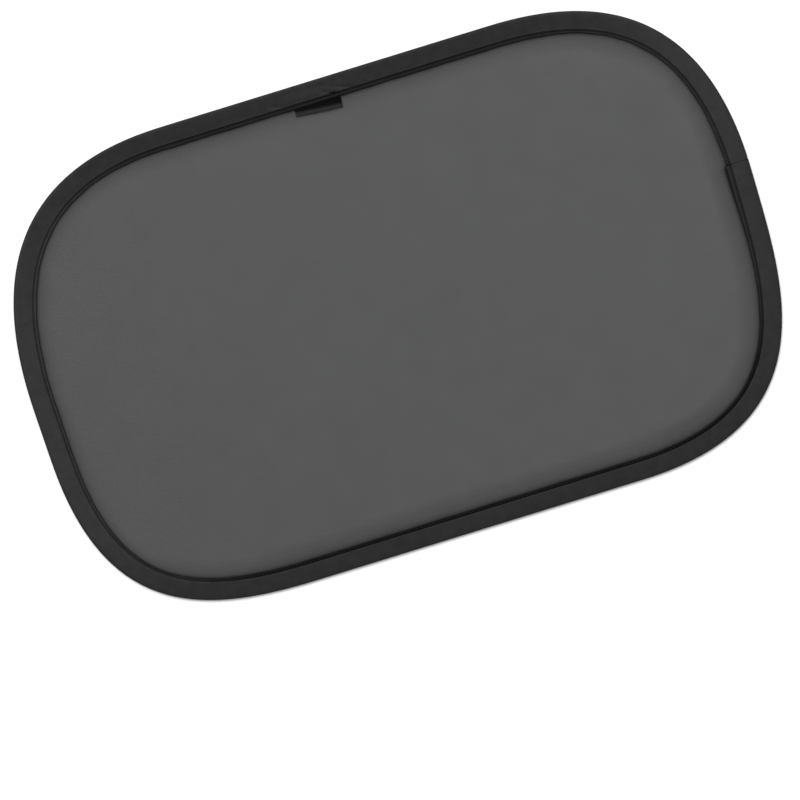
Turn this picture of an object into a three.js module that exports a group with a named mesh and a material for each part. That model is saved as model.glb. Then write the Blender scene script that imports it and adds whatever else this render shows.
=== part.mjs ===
// A pop-up sunshade for the side window of a car. A hoop of spring wire lies in the fold of a black
// tape, and the tape is sewn round a see-through panel: knitted mesh in front, clear cling film behind.
//
// Millimetres. The shade lies flat, as on a table. X runs along its length and Y up its height, as it
// hangs on the window. +Z points away from the glass, and the origin is under the middle of the shade.
import * as THREE from "three";

// Outline, at the outer edge of the tape
const SHADE_LENGTH = 489.4; // between the short sides, half way up
const SHADE_HEIGHT = 310.2; // between the long sides
const RIGHT_LEAN = 1.01; // degrees that the right side leans outward as it rises
const LEFT_LEAN = 1.8;
const SHORTEST_STRAIGHT = 8; // left between two corners, which become smaller to leave it

// Each corner is one curve between a long side and a short side. A reach is how far from the crossing
// of those sides the curve begins or ends.
const BOTTOM_RIGHT_LONG_REACH = 122.2;
const BOTTOM_RIGHT_SHORT_REACH = 153.7;
const TOP_RIGHT_SHORT_REACH = 138.3;
const TOP_RIGHT_LONG_REACH = 136.0;
const TOP_LEFT_LONG_REACH = 135.4;
const TOP_LEFT_SHORT_REACH = 151.3;
const BOTTOM_LEFT_SHORT_REACH = 123.6;
const BOTTOM_LEFT_LONG_REACH = 138.6;

// The corners, anticlockwise. A pull is the share of a reach that the curve's handle takes up.
const CORNERS = [
  { reachIn: BOTTOM_RIGHT_LONG_REACH, reachOut: BOTTOM_RIGHT_SHORT_REACH, pullIn: 0.98, pullOut: 0.441 },
  { reachIn: TOP_RIGHT_SHORT_REACH, reachOut: TOP_RIGHT_LONG_REACH, pullIn: 0.666, pullOut: 0.669 },
  { reachIn: TOP_LEFT_LONG_REACH, reachOut: TOP_LEFT_SHORT_REACH, pullIn: 0.568, pullOut: 0.745 },
  { reachIn: BOTTOM_LEFT_SHORT_REACH, reachOut: BOTTOM_LEFT_LONG_REACH, pullIn: 0.891, pullOut: 0.537 },
];

// Clearances
const LAYER_GAP = 0.05; // between layers that are sewn flat on each other
const SLEEVE_FIT = 0.08; // round the wire, inside its sleeve
const CHANNEL_FIT = 0.12; // round the sleeve, inside the fold of the tape

// Hoop
const WIRE_DIAMETER = 1.0;
const WIRE_END_GAP = 0.6; // between the two ends of the wire, inside the sleeve
const SLEEVE_WALL = 0.25;
const SLEEVE_LENGTH = 20;

// Tape
const TAPE_THICKNESS = 0.3;
const BAND_WIDTH = 14.7; // the folded tape, from its outer edge to its lip
const LIP = 2.1; // from the seam to the lip
const FLAT_LENGTH = 6.3; // from where the two leaves of the tape come together to the lip
const LAP_FROM_RIGHT_SIDE = 16.1; // from the middle of the right side up to the end of the tape
const LAP_LENGTH = 18; // how far the two ends of the tape lie over each other
const LAP_FADE = 4; // over which the hidden end thins out
const LAP_EXTRA_WIDTH = 1.0; // the upper end's lip reaches this much further in

// Panel
const MESH_THICKNESS = 0.3;
const FILM_THICKNESS = 0.12;
const SEAM_ALLOWANCE = 5; // that mesh and film go past the seam, inside the tape

// Label
const LABEL_WIDTH = 31;
const LABEL_PLY = 0.2;
const LABEL_FOLD_GAP = 0.1; // between its two plies
const LABEL_SHOWN = 6.5; // that it sticks out beyond the lip
const LABEL_TAIL = 2.4; // that it goes past the seam, inside the tape
const LABEL_SKEW = 4.8; // degrees, clockwise seen from the front
const LABEL_FROM_TOP_MIDDLE = 9; // from the middle of the top side, toward the left
const LABEL_RAMP = 6; // beside the label, over which the tape comes down again

// Thread
const THREAD_WIDTH = 0.3;
const THREAD_HEIGHT = 0.2;

// Fineness of the curves
const CORNER_STEPS = 24; // along each corner of the outline
const FOLD_STEPS = 6;
const WIRE_SIDES = 8;
const SLEEVE_SIDES = 16;
const LABEL_FOLD_STEPS = 6;
const NEAREST_STATIONS = 0.2; // two that are nearer than this become one

// Worked out from the sizes above: across the band, then up through the layers
const wireRadius = WIRE_DIAMETER / 2;
const sleeveBore = wireRadius + SLEEVE_FIT;
const sleeveRadius = sleeveBore + SLEEVE_WALL;
const foldInside = sleeveRadius + CHANNEL_FIT;
const foldOutside = foldInside + TAPE_THICKNESS;
const wireInset = foldOutside;
const seamInset = BAND_WIDTH - LIP;
const flatInset = BAND_WIDTH - FLAT_LENGTH;
const panelInset = seamInset - SEAM_ALLOWANCE;
const clearInset = BAND_WIDTH + LAP_EXTRA_WIDTH + LIP; // just inside every lip

const middleHeight = foldOutside;
const filmBottom = middleHeight - (MESH_THICKNESS + LAYER_GAP + FILM_THICKNESS) / 2;
const meshBottom = filmBottom + FILM_THICKNESS + LAYER_GAP;
const meshTop = meshBottom + MESH_THICKNESS;
const upperLeafBottom = meshTop + LAYER_GAP;
const lowerLeafTop = filmBottom - LAYER_GAP;
const labelThickness = 2 * LABEL_PLY + LABEL_FOLD_GAP;
const labelLift = labelThickness + LAYER_GAP;

// Colours and finishes
const tapeCloth = new THREE.MeshStandardMaterial({ color: "#2b2b2c", roughness: 0.85 });
const knittedMesh = new THREE.MeshStandardMaterial({
  color: "#3c3c3d",
  roughness: 0.8,
  transparent: true,
  opacity: 0.85,
});
const clearFilm = new THREE.MeshStandardMaterial({
  color: "#f4f6f7",
  roughness: 0.12,
  transparent: true,
  opacity: 0.2,
});
const springSteel = new THREE.MeshStandardMaterial({ color: "#8e9092", roughness: 0.35, metalness: 1 });
const zincPlate = new THREE.MeshStandardMaterial({ color: "#b4b6b8", roughness: 0.4, metalness: 1 });
const labelRibbon = new THREE.MeshStandardMaterial({ color: "#19191a", roughness: 0.6 });
const sewingThread = new THREE.MeshStandardMaterial({ color: "#1d1d1e", roughness: 0.7 });

// The outline is a four-sided figure with rounded corners. It starts half way along the bottom side and
// goes anticlockwise. Returned with it are the distances along it to the middles of the other sides.
function drawOutline() {
  const up = SHADE_HEIGHT / 2;
  const rightShift = up * Math.tan(THREE.MathUtils.degToRad(RIGHT_LEAN));
  const leftShift = up * Math.tan(THREE.MathUtils.degToRad(LEFT_LEAN));
  const right = SHADE_LENGTH / 2;
  const crossings = [
    new THREE.Vector2(right - rightShift, -up),
    new THREE.Vector2(right + rightShift, up),
    new THREE.Vector2(-right - leftShift, up),
    new THREE.Vector2(-right + leftShift, -up),
  ];
  const after = (k) => (k + 1) % crossings.length;
  const before = (k) => (k + crossings.length - 1) % crossings.length;

  // Two corners share a side, and both become smaller where they would meet on it.
  const roomOnSide = crossings.map((crossing, k) => {
    const length = crossing.distanceTo(crossings[after(k)]) - SHORTEST_STRAIGHT;
    return Math.min(1, length / (CORNERS[k].reachOut + CORNERS[after(k)].reachIn));
  });
  const toward = (from, to, distance) =>
    from.clone().add(to.clone().sub(from).setLength(distance));
  const starts = crossings.map((crossing, k) =>
    toward(crossing, crossings[before(k)], CORNERS[k].reachIn * roomOnSide[before(k)]),
  );
  const ends = crossings.map((crossing, k) =>
    toward(crossing, crossings[after(k)], CORNERS[k].reachOut * roomOnSide[k]),
  );

  const outline = new THREE.Path();
  const bottomMiddle = ends[3].clone().lerp(starts[0], 0.5);
  outline.moveTo(bottomMiddle.x, bottomMiddle.y);
  crossings.forEach((crossing, k) => {
    const handleIn = starts[k].clone().lerp(crossing, CORNERS[k].pullIn);
    const handleOut = ends[k].clone().lerp(crossing, CORNERS[k].pullOut);
    outline.lineTo(starts[k].x, starts[k].y);
    outline.bezierCurveTo(handleIn.x, handleIn.y, handleOut.x, handleOut.y, ends[k].x, ends[k].y);
  });
  outline.lineTo(bottomMiddle.x, bottomMiddle.y);

  // Curves 0, 2, 4, 6 and 8 are straight, and curves 1, 3, 5 and 7 are the corners.
  const reached = [0, ...outline.getCurveLengths()];
  return {
    outline,
    length: outline.getLength(),
    corners: [1, 3, 5, 7].map((k) => [reached[k], reached[k + 1]]),
    rightMiddle: (reached[2] + reached[3]) / 2,
    topMiddle: (reached[4] + reached[5]) / 2,
  };
}

const { outline, length: outlineLength, corners, rightMiddle, topMiddle } = drawOutline();
const outlineBox = new THREE.Box2().setFromPoints(outline.getPoints(CORNER_STEPS));
const outlineCentre = outlineBox.getCenter(new THREE.Vector2());

// A station is a place on the outline, with the direction that leads into the shade from there.
function stationAt(distance) {
  const share = distance / outlineLength;
  const point = outline.getPoint(share).sub(outlineCentre);
  const along = outline.getTangent(share);
  return { distance, point, inward: new THREE.Vector2(-along.y, along.x) };
}

// 0 up to the first mark, 1 between the middle two, and 0 again from the last one on
function plateau(distance, marks) {
  const rise = THREE.MathUtils.clamp((distance - marks[0]) / (marks[1] - marks[0]), 0, 1);
  const fall = THREE.MathUtils.clamp((marks[3] - distance) / (marks[3] - marks[2]), 0, 1);
  return Math.min(rise, fall);
}

// The upper end of the tape stops with a sharp step, and the hidden end below it thins out.
const lapTop = rightMiddle + LAP_FROM_RIGHT_SIDE;
const lapBottom = lapTop - LAP_LENGTH;
const lapMarks = [lapBottom, lapBottom + LAP_FADE, lapTop, lapTop + TAPE_THICKNESS];

const labelMiddle = topMiddle + LABEL_FROM_TOP_MIDDLE;
const labelSkew = THREE.MathUtils.degToRad(LABEL_SKEW);
const labelHalf = LABEL_WIDTH / 2 + clearInset * Math.tan(labelSkew);
const labelMarks = [
  labelMiddle - labelHalf - LABEL_RAMP,
  labelMiddle - labelHalf,
  labelMiddle + labelHalf,
  labelMiddle + labelHalf + LABEL_RAMP,
];

const lapAt = (distance) => plateau(distance, lapMarks);
const liftAt = (distance) => labelLift * plateau(distance, labelMarks);

// Stations are close together round the corners and wherever the tape changes its height.
function chooseDistances() {
  const wanted = [0, ...lapMarks, ...labelMarks];
  for (const [start, end] of corners)
    for (let k = 0; k <= CORNER_STEPS; k++) wanted.push(start + ((end - start) * k) / CORNER_STEPS);
  wanted.sort((a, b) => a - b);
  return wanted.filter((distance, k) => k === 0 || distance - wanted[k - 1] > NEAREST_STATIONS);
}

const distances = chooseDistances();
const stations = distances.map(stationAt);

function solidFrom(positions, triangles) {
  const geometry = new THREE.BufferGeometry();
  geometry.setAttribute("position", new THREE.Float32BufferAttribute(positions.flat(), 3));
  geometry.setIndex(triangles.flat());
  geometry.computeVertexNormals();
  return geometry;
}

function pointIn(station, inset, height) {
  const place = station.point.clone().addScaledVector(station.inward, inset);
  return [place.x, place.y, height];
}

// Carries a section along the stations. The section is a list of [inset, height] corners, which goes
// anticlockwise with the inset to the right. A run that isn't closed gets flat ends.
function sweep(along, sectionAt, closed) {
  const rows = along.map((station) =>
    sectionAt(station.distance).map(([inset, height]) => pointIn(station, inset, height)),
  );
  const count = rows[0].length;
  const triangles = [];
  const spans = closed ? rows.length : rows.length - 1;
  for (let row = 0; row < spans; row++) {
    const here = row * count;
    const next = ((row + 1) % rows.length) * count;
    for (let k = 0; k < count; k++) {
      const l = (k + 1) % count;
      triangles.push([here + k, here + l, next + k], [here + l, next + l, next + k]);
    }
  }
  const last = (rows.length - 1) * count;
  for (let k = 2; k < count && !closed; k++)
    triangles.push([0, k, k - 1], [last, last + k - 1, last + k]);
  return solidFrom(rows.flat(), triangles);
}

// A level sheet whose edge lies at panelInset. A second ring of corners, at clearInset, parts the edge
// under the tape from the open field of the panel.
function levelSheet(bottom, thickness) {
  const count = stations.length;
  const rings = [
    [panelInset, bottom],
    [clearInset, bottom],
    [panelInset, bottom + thickness],
    [clearInset, bottom + thickness],
  ];
  const positions = rings.flatMap(([inset, height]) =>
    stations.map((station) => pointIn(station, inset, height)),
  );
  const [edgeBelow, fieldBelow, edgeAbove, fieldAbove] = rings.map((_, k) => k * count);
  const triangles = [];
  const band = (a, b) => {
    for (let k = 0; k < count; k++) {
      const l = (k + 1) % count;
      triangles.push([a + k, a + l, b + k], [a + l, b + l, b + k]);
    }
  };
  band(edgeAbove, fieldAbove);
  band(fieldBelow, edgeBelow);
  band(edgeBelow, edgeAbove);
  const field = stations.map((station) => {
    const [x, y] = pointIn(station, clearInset, 0);
    return new THREE.Vector2(x, y);
  });
  for (const [a, b, c] of THREE.ShapeUtils.triangulateShape(field, [])) {
    triangles.push([fieldAbove + a, fieldAbove + b, fieldAbove + c]);
    triangles.push([fieldBelow + a, fieldBelow + c, fieldBelow + b]);
  }
  return solidFrom(positions, triangles);
}

// The tape, folded round the wire. Its two leaves slope together to the flat part that is sewn.
function tapeSection(distance) {
  const lap = lapAt(distance);
  const lift = liftAt(distance);
  const lip = BAND_WIDTH + LAP_EXTRA_WIDTH * lap;
  const upperInside = upperLeafBottom + lift;
  const upperOutside = upperInside + TAPE_THICKNESS * (1 + lap);
  const lowerOutside = lowerLeafTop - TAPE_THICKNESS;
  const fold = (radius, extra) =>
    Array.from({ length: FOLD_STEPS + 1 }, (_, k) => {
      const angle = Math.PI * (0.5 + k / FOLD_STEPS);
      const rise = extra * Math.max(0, Math.sin(angle));
      return [wireInset + radius * Math.cos(angle), middleHeight + radius * Math.sin(angle) + rise];
    });
  return [
    [lip, upperOutside],
    [flatInset, upperOutside],
    ...fold(foldOutside, TAPE_THICKNESS * lap),
    [flatInset, lowerOutside],
    [lip, lowerOutside],
    [lip, lowerLeafTop],
    [flatInset, lowerLeafTop],
    ...fold(foldInside, 0).reverse(),
    [flatInset, upperInside],
    [lip, upperInside],
  ];
}

function threadSection(bottom) {
  const left = seamInset - THREAD_WIDTH / 2;
  const right = seamInset + THREAD_WIDTH / 2;
  const top = bottom + THREAD_HEIGHT;
  return [
    [left, bottom],
    [right, bottom],
    [right, top],
    [left, top],
  ];
}

function needleThreadSection(distance) {
  const tape = TAPE_THICKNESS * (1 + lapAt(distance));
  return threadSection(upperLeafBottom + liftAt(distance) + tape + LAYER_GAP);
}

function bobbinThreadSection() {
  return threadSection(lowerLeafTop - TAPE_THICKNESS - LAYER_GAP - THREAD_HEIGHT);
}

function wireSection() {
  return Array.from({ length: WIRE_SIDES }, (_, k) => {
    const angle = (2 * Math.PI * k) / WIRE_SIDES;
    return [wireInset + wireRadius * Math.cos(angle), middleHeight + wireRadius * Math.sin(angle)];
  });
}

// The wire's two ends meet in the sleeve, half way along the bottom side.
function wireStations() {
  const start = WIRE_END_GAP / 2;
  const end = outlineLength - start;
  const between = distances.filter((d) => d > start + NEAREST_STATIONS && d < end - NEAREST_STATIONS);
  return [start, ...between, end].map(stationAt);
}

// A tube, centred on the meeting of the wire's ends, with its bore along X
function addSleeve(shade) {
  const wall = new THREE.Shape().absarc(0, 0, sleeveRadius, 0, 2 * Math.PI);
  wall.holes.push(new THREE.Path().absarc(0, 0, sleeveBore, 0, 2 * Math.PI, true));
  const tube = new THREE.ExtrudeGeometry(wall, {
    depth: SLEEVE_LENGTH,
    curveSegments: SLEEVE_SIDES / 2,
    bevelEnabled: false,
  });
  tube.translate(0, 0, -SLEEVE_LENGTH / 2);
  const sleeve = new THREE.Mesh(tube, zincPlate);
  sleeve.name = "wire_sleeve";
  sleeve.rotation.y = Math.PI / 2;
  sleeve.position.set(...pointIn(stationAt(0), wireInset, middleHeight));
  shade.add(sleeve);
}

// A ribbon folded in half. Its side view is drawn with X from the tails to the fold and Y up through
// the plies, and then drawn out to the ribbon's width.
function addLabel(shade) {
  const foldRadius = labelThickness / 2;
  const innerRadius = LABEL_FOLD_GAP / 2;
  const foldCentre = LIP + LABEL_SHOWN - foldRadius;
  const quarter = Math.PI / 2;
  const side = new THREE.Shape();
  side.moveTo(-LABEL_TAIL, 0);
  side.lineTo(foldCentre, 0);
  side.absarc(foldCentre, foldRadius, foldRadius, -quarter, quarter);
  side.lineTo(-LABEL_TAIL, labelThickness);
  side.lineTo(-LABEL_TAIL, labelThickness - LABEL_PLY);
  side.lineTo(foldCentre, labelThickness - LABEL_PLY);
  side.absarc(foldCentre, foldRadius, innerRadius, quarter, -quarter, true);
  side.lineTo(-LABEL_TAIL, LABEL_PLY);
  const ribbon = new THREE.ExtrudeGeometry(side, {
    depth: LABEL_WIDTH,
    curveSegments: LABEL_FOLD_STEPS,
    bevelEnabled: false,
  });
  ribbon.translate(0, 0, -LABEL_WIDTH / 2);
  ribbon.rotateX(quarter);

  // Inside the turned group X leads into the shade, down from the top side.
  const label = new THREE.Mesh(ribbon, labelRibbon);
  label.name = "label_tab";
  const onSeam = new THREE.Group();
  const station = stationAt(labelMiddle);
  onSeam.position.set(...pointIn(station, seamInset, meshTop + LAYER_GAP));
  onSeam.rotation.z = station.inward.angle() - labelSkew;
  onSeam.add(label);
  shade.add(onSeam);
}

function addPiece(shade, name, geometry, material) {
  const piece = new THREE.Mesh(geometry, material);
  piece.name = name;
  shade.add(piece);
}

const shade = new THREE.Group();
addPiece(shade, "edge_binding", sweep(stations, tapeSection, true), tapeCloth);
addPiece(shade, "mesh_panel", levelSheet(meshBottom, MESH_THICKNESS), knittedMesh);
addPiece(shade, "cling_film", levelSheet(filmBottom, FILM_THICKNESS), clearFilm);
addPiece(shade, "spring_wire", sweep(wireStations(), wireSection, false), springSteel);
addPiece(shade, "needle_thread", sweep(stations, needleThreadSection, true), sewingThread);
addPiece(shade, "bobbin_thread", sweep(stations, bobbinThreadSection, true), sewingThread);
addSleeve(shade);
addLabel(shade);

export default shade;
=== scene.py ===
# %% [markdown]
# # A pop-up sunshade for the side window of a car
#
# The shade is soft goods on a spring. A hoop of steel wire lies in the fold of a black woven tape, and the
# tape is sewn round a see-through panel of knitted mesh with a clear film behind it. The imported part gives
# every size and place. This script gives each piece the cloth, the stitches and the finish of the real one.

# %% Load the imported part
import math
import bpy
import numpy as np
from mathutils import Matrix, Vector
from mathutils.geometry import convex_hull_2d


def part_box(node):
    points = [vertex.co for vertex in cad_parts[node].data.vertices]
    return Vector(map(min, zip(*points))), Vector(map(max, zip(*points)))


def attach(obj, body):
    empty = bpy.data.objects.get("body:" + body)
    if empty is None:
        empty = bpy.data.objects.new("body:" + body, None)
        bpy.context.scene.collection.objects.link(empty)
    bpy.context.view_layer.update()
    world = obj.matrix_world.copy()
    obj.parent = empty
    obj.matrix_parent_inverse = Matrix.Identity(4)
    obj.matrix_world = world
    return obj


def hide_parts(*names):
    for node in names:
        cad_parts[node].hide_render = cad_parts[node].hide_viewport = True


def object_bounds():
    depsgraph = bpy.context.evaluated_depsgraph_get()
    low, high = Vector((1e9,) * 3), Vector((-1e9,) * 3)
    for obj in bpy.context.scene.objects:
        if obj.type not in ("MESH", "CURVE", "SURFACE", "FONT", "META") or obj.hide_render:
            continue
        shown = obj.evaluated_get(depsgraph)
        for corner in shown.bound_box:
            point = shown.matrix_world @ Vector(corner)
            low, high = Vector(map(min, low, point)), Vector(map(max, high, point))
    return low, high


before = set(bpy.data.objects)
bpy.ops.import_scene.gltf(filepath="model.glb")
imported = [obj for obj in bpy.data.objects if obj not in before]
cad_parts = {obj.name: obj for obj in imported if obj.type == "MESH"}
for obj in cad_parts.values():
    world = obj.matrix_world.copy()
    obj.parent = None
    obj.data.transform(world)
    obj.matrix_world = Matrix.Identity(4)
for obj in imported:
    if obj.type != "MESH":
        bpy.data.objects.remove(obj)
cad_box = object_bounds()
print("nodes:", ", ".join(sorted(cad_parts)))

# %% [markdown]
# ## Sizes
#
# Blender works in metres, and cloth is thought of in millimetres, so every size here is written as a
# number of millimetres times MM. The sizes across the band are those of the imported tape: the wire lies in
# a round fold at the outer edge, and the two leaves come together at the seam.

# %% Sizes across the band and through the layers
MM = 0.001

FOLD_RADIUS = 1.25 * MM  # outside of the tape, round the wire
TAPE_THICKNESS = 0.3 * MM
BAND_WIDTH = 14.7 * MM  # from the outer edge to the lip, where it is widest
SEAM = 12.6 * MM  # from the outer edge to the stitches
PANEL_EDGE = 7.6 * MM  # where mesh and film end, inside the tape
LEAVES_MEET = 8.4 * MM

MIDDLE = FOLD_RADIUS  # height of the wire
LOWER_LEAF_BOTTOM = 0.665 * MM
film_low, film_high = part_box("cling_film")
mesh_low, mesh_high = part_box("mesh_panel")
print(f"mesh lies from {mesh_low.z / MM:.2f} to {mesh_high.z / MM:.2f} mm")

# %% [markdown]
# ## The outline
#
# Every piece follows the same closed line, so it is made once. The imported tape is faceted, and the hull of
# its corners is that line with one corner about every 8 mm. It is cut into even steps and then smoothed,
# as a moving average would, so that light runs round the edge without a break. Smoothing in frequency
# does this on a closed line with no ends to care for, and gives the direction of the line as well.

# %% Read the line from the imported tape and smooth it
LINE_STEP = 0.5 * MM
SMOOTHING = 4 * MM


def smooth_outline():
    corners = [vertex.co.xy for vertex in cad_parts["edge_binding"].data.vertices]
    hull = np.array([corners[k] for k in convex_hull_2d(corners)])
    hull = np.vstack([hull, hull[:1]])
    reached = np.concatenate([[0], np.cumsum(np.hypot(*np.diff(hull, axis=0).T))])
    count = round(reached[-1] / LINE_STEP)
    even = np.linspace(0, reached[-1], count, endpoint=False)
    line = np.interp(even, reached, hull[:, 0]) + 1j * np.interp(even, reached, hull[:, 1])
    waves = np.fft.fft(line)
    rate = 2 * math.pi * np.fft.fftfreq(count, reached[-1] / count)
    waves = waves * np.exp(-((rate * SMOOTHING) ** 2) / 2)
    along = np.fft.ifft(1j * rate * waves)
    return even, np.fft.ifft(waves), along / np.abs(along), reached[-1]


line_reached, line_points, line_along, LINE_LENGTH = smooth_outline()
print(f"outline {LINE_LENGTH / MM:.0f} mm round")

# %% Find a place on the line, and a point beside it


def at(distance, values):
    """The value at each distance along the closed line."""
    real = np.interp(distance, line_reached, values.real, period=LINE_LENGTH)
    imaginary = np.interp(distance, line_reached, values.imag, period=LINE_LENGTH)
    return real + 1j * imaginary


def distance_near(x, y):
    """How far along the line the place nearest to x, y is."""
    return line_reached[np.argmin(np.abs(line_points - (x + 1j * y)))]


def beside(distance, inset):
    """The point that lies inset further into the shade than the line."""
    inward = at(distance, line_along) * 1j
    return at(distance, line_points) + inward / np.abs(inward) * inset


# %% [markdown]
# ## Helpers for meshes
#
# A swept piece is a grid: one row for each station along the line and one column for each corner of its
# section. NumPy fills the whole grid at once, which is quick and short to read. Each corner also gets a UV
# place in metres, along the piece and across it, so that a weave can follow the tape round the shade.

# %% Build a mesh from a grid of points
COLLECTION = bpy.context.scene.collection


def grid_mesh(name, points, across, along, closed_rows=False, capped=False):
    """Makes a piece from points in rows and columns, closed round its section.

    along has a UV place for each row, and across has one for each column or for each point.
    """
    rows, columns = points.shape[:2]
    row = np.arange(rows if closed_rows else rows - 1)[:, None]
    column = np.arange(columns)[None, :]
    next_row = (row + 1) % rows
    next_column = (column + 1) % columns
    corners = [(row, column), (row, next_column), (next_row, next_column), (next_row, column)]
    quads = np.stack([r * columns + c for r, c in corners], axis=-1).reshape(-1, 4)
    faces = quads.tolist()
    if capped:
        faces.append(list(range(columns))[::-1])
        faces.append(list(range((rows - 1) * columns, rows * columns)))
    mesh = bpy.data.meshes.new(name)
    mesh.from_pydata(points.reshape(-1, 3).tolist(), [], faces)
    u = np.broadcast_to(np.append(along, 2 * along[-1] - along[-2])[:, None], (rows + 1, columns + 1))
    v = np.pad(np.broadcast_to(across, (rows, columns)), ((0, 1), (0, 1)), mode="wrap")
    ahead = [(row, column), (row, column + 1), (row + 1, column + 1), (row + 1, column)]
    u_corners = np.stack([u[r, c] for r, c in ahead], axis=-1).ravel()
    v_corners = np.stack([v[r, c] for r, c in ahead], axis=-1).ravel()
    places = np.zeros((len(mesh.loops), 2))
    places[: len(u_corners), 0] = u_corners
    places[: len(v_corners), 1] = v_corners
    mesh.uv_layers.new(name="along_piece").data.foreach_set("uv", places.ravel())
    mesh.polygons.foreach_set("use_smooth", [True] * len(mesh.polygons))
    mesh.validate()
    piece = bpy.data.objects.new(name, mesh)
    COLLECTION.objects.link(piece)
    print(f"{name}: {len(mesh.polygons)} faces")
    return piece


def place(complex_points, heights):
    """Puts points of the plane, as complex numbers, and their heights together."""
    return np.stack([complex_points.real, complex_points.imag, heights + 0 * complex_points.real], axis=-1)


def ease(value, low, high):
    """0 below low, 1 above high, and a smooth step between them."""
    share = np.clip((value - low) / (high - low), 0, 1)
    return share * share * (3 - 2 * share)


def by_side(distance, values):
    """A value that changes slowly round the shade, given for each side by the degrees it faces."""
    outward = np.degrees(np.angle(-1j * at(distance, line_along)))
    return np.interp(outward, list(values), list(values.values()), period=360)


def bump_at(value, middle, width):
    """1 at the middle, and soft shoulders down to 0 about two widths away."""
    return np.exp(-(((value - middle) / width) ** 2))


def ripple(distance, *waves):
    """A sum of (height, wave length, start) waves, which looks irregular and is always the same."""
    return sum(high * np.sin(2 * math.pi * distance / length + start) for high, length, start in waves)


# %% [markdown]
# ## The tape
#
# A binding tape is sewn on in one go: the machine folds it round the wire and the panel's edge, and where it
# comes back to its start it runs over it for nearly two centimetres. A swept section shows this best. The
# strip here is longer than the line by the lap, its first end is squeezed a little smaller, and its last end
# lies over it, one thickness higher and with a lip that reaches a little deeper.

# %% Where the lap and the label are
LAP_LEAD = 4 * MM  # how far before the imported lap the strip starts

tape_corners = np.array([v.co[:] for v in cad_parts["edge_binding"].data.vertices])
plain_top = 2 * FOLD_RADIUS
lap_corners = tape_corners[tape_corners[:, 2] > plain_top + TAPE_THICKNESS / 2]
lap_end = distance_near(*lap_corners[np.argmax(lap_corners[:, 1])][:2])
lap_start = distance_near(*lap_corners[np.argmin(lap_corners[:, 1])][:2]) - LAP_LEAD
lap_span = (lap_end - lap_start) % LINE_LENGTH

label_low, label_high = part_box("label_tab")
label_centre = (label_low + label_high) / 2
label_at = distance_near(label_centre.x, cad_box[1][1])
print(f"lap from {lap_start / MM:.0f} to {lap_end / MM:.0f} mm, label at {label_at / MM:.0f} mm along")

# %% The stations of the strip
TAPE_STEP = 0.9 * MM
RISE_BEFORE = 3 * MM  # where the last end starts to climb, before it meets the first
RISE_PAST = 1 * MM
SQUEEZE_END = 2 * MM  # how far past the lap the first end is squeezed

strip_length = LINE_LENGTH + lap_span
tape_rows = round(strip_length / TAPE_STEP)
tape_along = np.linspace(0, strip_length, tape_rows)
tape_at = lap_start + tape_along
under = 1 - ease(tape_along, lap_span, lap_span + SQUEEZE_END)
over = ease(tape_along, LINE_LENGTH - RISE_BEFORE, LINE_LENGTH + RISE_PAST)
squeeze = TAPE_THICKNESS * under[:, None]
raised = TAPE_THICKNESS * over[:, None]
print(f"strip {strip_length / MM:.0f} mm long, in {tape_rows} stations")

# %% [markdown]
# The lip is where the upper leaf ends. It doesn't run at one distance from the outer edge: each side of the
# shade went through the machine a little differently, and a sewer's hand lets the lip wander by a tenth of a
# millimetre or so. It reaches furthest in just before the tape's last end.

# %% Where the lip runs
LIP_BY_SIDE = {  # millimetres from the outer edge to the lip
    3: 14.4, 28: 14.1, 43: 14.4, 73: 14.1, 88: 14.8, 103: 14.4, 143: 14.5,
    163: 14.6, 183: 14.2, 223: 13.4, 263: 13.7, 303: 13.4, 333: 13.8,
}
LIP_WANDER = [(0.08 * MM, 41 * MM, 0.7), (0.06 * MM, 19 * MM, 2.9), (0.05 * MM, 7.9 * MM, 5.0)]
LAP_EXTRA_WIDTH = 0.9 * MM
LAP_FADE = 75 * MM


def in_lap(distance):
    """1 where the tape lies over its own start, and 0 elsewhere."""
    return np.where((distance - lap_start) % LINE_LENGTH < lap_span, 1.0, 0.0)


def lap_width(distance):
    """How much further in the lip runs before the tape's last end. It comes back over some centimetres."""
    before_end = (lap_end - distance) % LINE_LENGTH
    return LAP_EXTRA_WIDTH * (1 - ease(before_end, 0, LAP_FADE))


def lip_inset(distance):
    """How far from the outer edge the lip runs."""
    return by_side(distance, LIP_BY_SIDE) * MM + ripple(distance, *LIP_WANDER)


# %% Small folds, where the label and the lap pull the tape in
LABEL_FOLDS = [  # start and end of each fold, as mm from the label's middle and from the outer edge
    (-27, 12.4, 0, 4.6),
    (-15, 12.4, -1, 8.2),
    (19, 12.2, 33, 8.0),
]
LAP_FOLDS = [(-1, 12.4, -6, 5.0)]  # the same from the tape's last end
FOLD_DEPTH = 0.5 * MM
FOLD_WIDTH_MM = 0.8


def past(distance, anchor):
    """The distance past a place on the line, below 0 before it."""
    return (distance - anchor + LINE_LENGTH / 2) % LINE_LENGTH - LINE_LENGTH / 2


def fold_depth(distance, inset):
    """How deep the folds are. They run slantwise from the seam, and are deepest halfway."""
    depth = 0
    for anchor, folds in ((label_at, LABEL_FOLDS), (lap_end, LAP_FOLDS)):
        for start, start_inset, end, end_inset in folds:
            share = np.clip((past(distance, anchor) / MM - start) / (end - start), 0, 1)
            line = start_inset + (end_inset - start_inset) * share
            depth = depth + bump_at(inset / MM, line, FOLD_WIDTH_MM) * np.sin(math.pi * share) ** 0.6
    return FOLD_DEPTH * depth


# %% [markdown]
# The upper leaf falls from the wire to the seam, most of the way in a straight line. The stitches pull it
# into a groove, deepest at each hole. Between wire and seam and along the lip it waves a little, and the
# label under it lifts it.

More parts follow.
